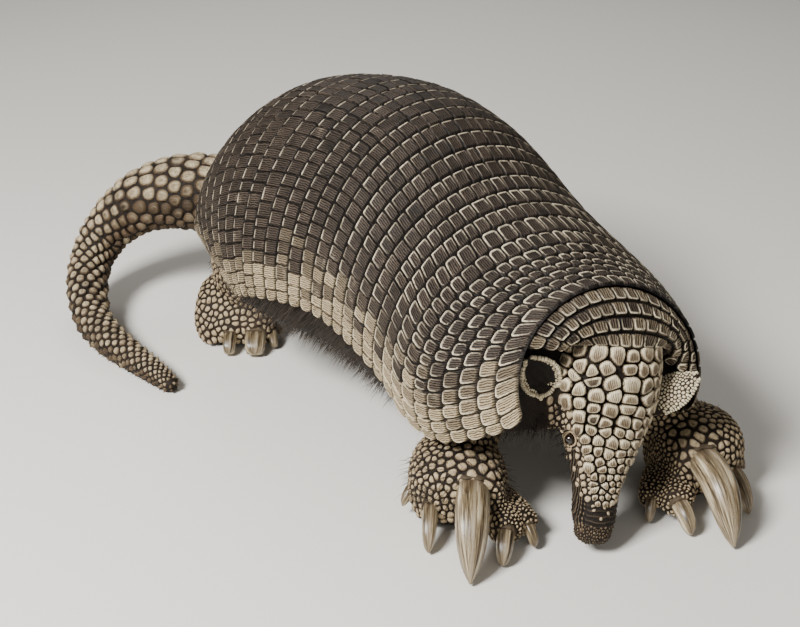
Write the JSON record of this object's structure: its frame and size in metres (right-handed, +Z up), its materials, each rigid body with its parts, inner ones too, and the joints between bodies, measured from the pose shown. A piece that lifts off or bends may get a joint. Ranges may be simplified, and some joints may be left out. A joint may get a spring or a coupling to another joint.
{
  "type": "giant armadillo model",
  "caption": "Still life-size giant armadillo walking nose-down, with a banded shell of small plates, big digging claws and a curled tail.",
  "frame": {"origin": "on the ground, under the middle of the animal's bounding box", "axes": "+Z up, -Y ahead (the way the animal walks), +X towards the animal's left side"},
  "size_m": [0.4972, 0.9526, 0.3755],
  "materials": {
    "skin": "matte, wrinkled",
    "shell_plate": "satin horn over bone",
    "head_plate": "satin horn over bone",
    "claw_horn": "semi-gloss horn",
    "eye": "wet gloss"
  },
  "bodies": {
    "root": {"back_band_01": "shell_plate", "back_band_02": "shell_plate", "back_band_03": "shell_plate", "back_band_04": "shell_plate", "back_band_05": "shell_plate", "back_band_06": "shell_plate", "back_band_07": "shell_plate", "back_band_08": "shell_plate", "back_band_09": "shell_plate", "back_band_10": "shell_plate", "back_band_11": "shell_plate", "back_band_12": "shell_plate", "ear_left": "skin", "ear_right": "skin", "eye_left": "eye", "eye_right": "eye", "foreclaw_left_1": "claw_horn", "foreclaw_left_2": "claw_horn", "foreclaw_left_3": "claw_horn", "foreclaw_left_4": "claw_horn", "foreclaw_left_5": "claw_horn", "foreclaw_right_1": "claw_horn", "foreclaw_right_2": "claw_horn", "foreclaw_right_3": "claw_horn", "foreclaw_right_4": "claw_horn", "foreclaw_right_5": "claw_horn", "forefoot_left": "skin", "forefoot_right": "skin", "foreleg_left": "skin", "foreleg_right": "skin", "head": "skin", "head_shield": "head_plate", "hindclaw_left_1": "claw_horn", "hindclaw_left_2": "claw_horn", "hindclaw_left_3": "claw_horn", "hindclaw_left_4": "claw_horn", "hindclaw_left_5": "claw_horn", "hindclaw_right_1": "claw_horn", "hindclaw_right_2": "claw_horn", "hindclaw_right_3": "claw_horn", "hindclaw_right_4": "claw_horn", "hindclaw_right_5": "claw_horn", "hindfoot_left": "skin", "hindfoot_right": "skin", "hindleg_left": "skin", "hindleg_right": "skin", "neck": "skin", "neck_band_1": "shell_plate", "neck_band_2": "shell_plate", "neck_band_3": "shell_plate", "neck_band_4": "shell_plate", "pelvic_shield": "shell_plate", "shoulder_shield": "shell_plate", "tail_middle": "skin", "tail_root": "skin", "tail_tip": "skin", "trunk": "skin"}
  },
  "joints": []
}
